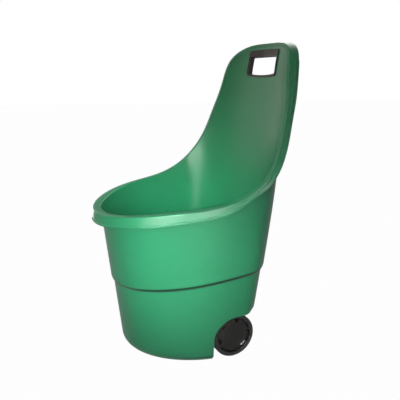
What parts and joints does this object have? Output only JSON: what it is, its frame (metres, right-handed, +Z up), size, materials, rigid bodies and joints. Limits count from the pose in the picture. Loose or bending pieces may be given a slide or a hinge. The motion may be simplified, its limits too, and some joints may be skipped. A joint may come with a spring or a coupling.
{
  "type": "garden cart",
  "caption": "Deep moulded garden cart tub with a tall curved back, a hand hole with a grip frame, and small wheels on an axle under the rear.",
  "frame": {"origin": "middle of the footprint on the floor", "axes": "+Z up; the front is at -Y, the raised back and wheels are at +Y, and the axle lies along X"},
  "size_m": [0.4982, 0.5374, 0.848],
  "materials": {
    "tub": "green moulded polypropylene with a soft satin sheen",
    "grip": "dark brown moulded plastic",
    "clip": "black moulded plastic",
    "wheel": "black moulded plastic, slightly glossy",
    "cap": "black moulded plastic",
    "tyre": "black solid tyre",
    "bush": "off-white bearing plastic",
    "steel": "zinc-plated steel"
  },
  "bodies": {
    "cart": {"tub": "tub", "grip_sleeve": "grip", "grip_back_frame": "grip", "axle": "steel", "axle_clip_left": "clip", "axle_clip_right": "clip", "clip_screws_left": "steel", "clip_screws_right": "steel", "inner_washer_left": "steel", "inner_washer_right": "steel", "outer_washer_left": "steel", "outer_washer_right": "steel", "push_nut_left": "steel", "push_nut_right": "steel"},
    "left_wheel": {"wheel_left": "wheel", "tyre_left": "tyre", "hub_cap_left": "cap", "wheel_bush_left": "bush"},
    "right_wheel": {"wheel_right": "wheel", "tyre_right": "tyre", "hub_cap_right": "cap", "wheel_bush_right": "bush"}
  },
  "joints": [
    {"name": "left_wheel_spin", "type": "hinge", "parent": "cart", "child": "left_wheel", "pos_m": [0.16, 0.06, 0.061], "axis": [1, 0, 0], "continuous": true},
    {"name": "right_wheel_spin", "type": "hinge", "parent": "cart", "child": "right_wheel", "pos_m": [-0.16, 0.06, 0.061], "axis": [1, 0, 0], "continuous": true}
  ]
}
